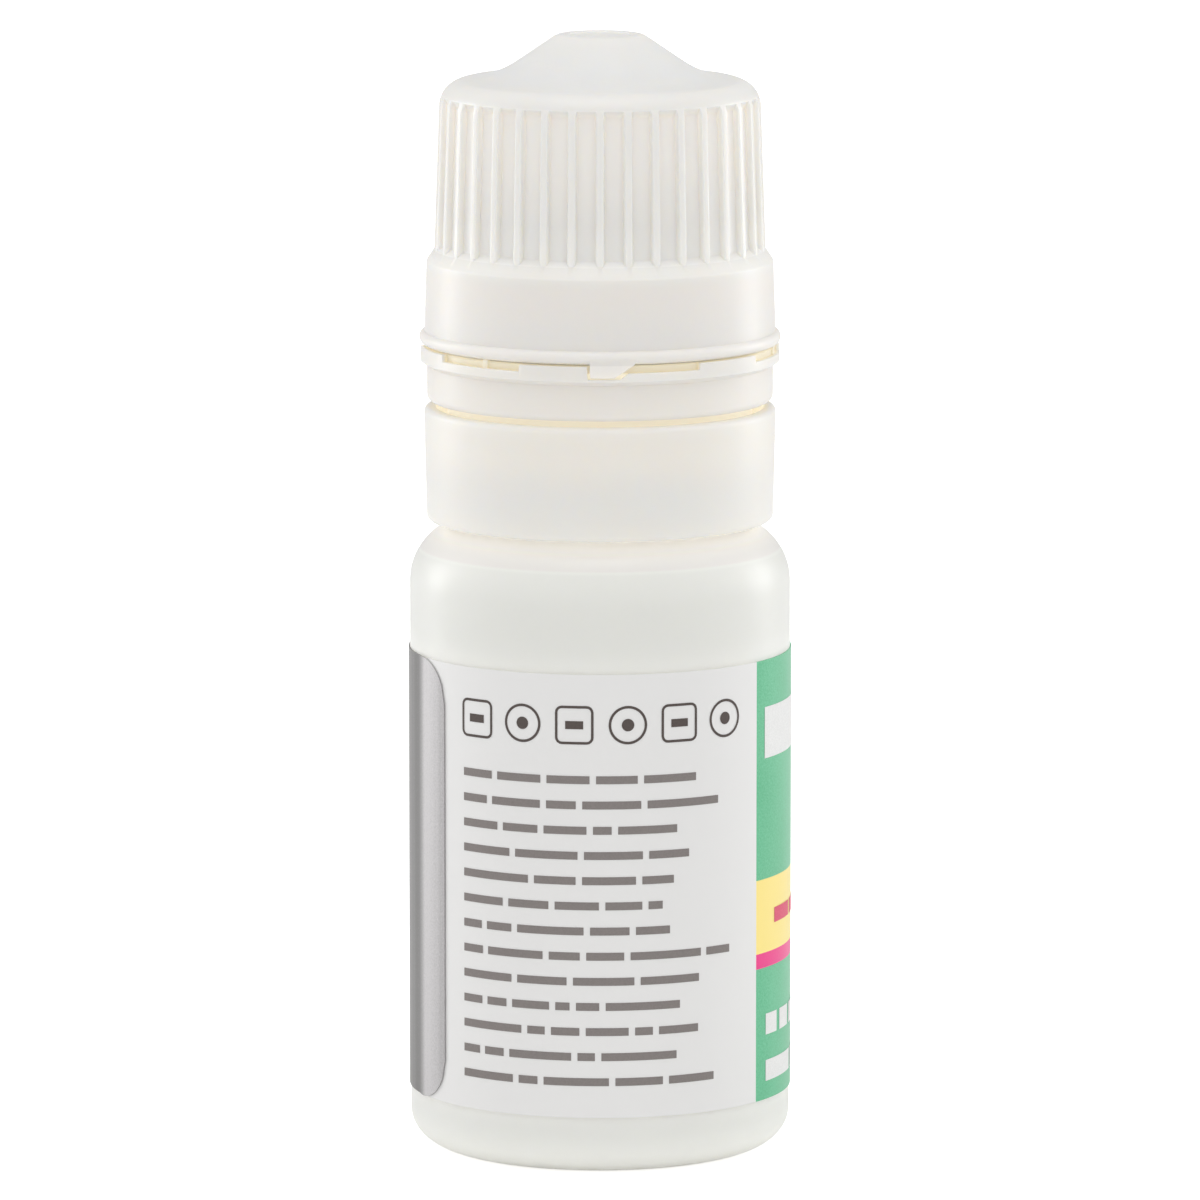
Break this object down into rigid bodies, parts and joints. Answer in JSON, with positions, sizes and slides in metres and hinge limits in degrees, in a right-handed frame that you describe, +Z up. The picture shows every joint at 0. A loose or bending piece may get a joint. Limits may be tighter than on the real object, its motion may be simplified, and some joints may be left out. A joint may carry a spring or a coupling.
{
  "type": "eye drop bottle",
  "caption": "Small round squeeze bottle with a wrap-round label, a snapped-on multi-dose dropper head with a valved tip, a loose tamper ring and a ribbed screw cap.",
  "frame": {"origin": "centre of the base, on the surface that the bottle stands on", "axes": "+Z up along the bottle's axis, -Y towards the front of the label, +X to the right as seen from the front"},
  "size_m": [0.0252, 0.0252, 0.0735],
  "materials": {
    "white_cap_plastic": "satin moulded polyethylene",
    "milky_bottle_plastic": "translucent blow-moulded polyethylene",
    "clear_solution": "clear liquid, as dense as water",
    "label_film": "satin printed film",
    "natural_inner_plastic": "unpigmented moulded plastic",
    "pale_elastomer": "soft silicone",
    "filter_membrane": "fine membrane on fleece",
    "spring_steel": "drawn stainless wire"
  },
  "bodies": {
    "root": {"bottle": "milky_bottle_plastic", "solution": "clear_solution", "label": "label_film", "neck_seal": "pale_elastomer", "inlet_insert": "natural_inner_plastic", "vent_filter": "filter_membrane", "filter_retainer": "natural_inner_plastic", "dispenser_housing": "white_cap_plastic", "spring_carrier": "natural_inner_plastic", "valve_spring": "spring_steel", "valve_diaphragm": "pale_elastomer", "dropper_nozzle": "white_cap_plastic"},
    "valve": {"valve_pin": "natural_inner_plastic"},
    "ring": {"tamper_ring": "white_cap_plastic"},
    "cap": {"screw_cap": "white_cap_plastic", "cap_seal": "pale_elastomer"}
  },
  "joints": [
    {"name": "ring_and_cap_turn", "type": "hinge", "parent": "root", "child": "ring", "pos_m": [0, 0, 0.0495], "axis": [0, 0, 1], "range_deg": [0, 1440]},
    {"name": "cap_rise", "type": "slide", "parent": "ring", "child": "cap", "axis": [0, 0, 1], "range_m": [0, 0.024]},
    {"name": "valve_slide", "type": "slide", "parent": "root", "child": "valve", "axis": [0, 0, -1], "range_m": [0, 0.0005], "stiffness_N_per_m": 300, "springref_m": -0.002, "deforming": ["valve_spring"]}
  ],
  "couplings": [
    {"joint": "cap_rise", "follows": "ring_and_cap_turn", "m_per_rad": 0.00095493}
  ]
}
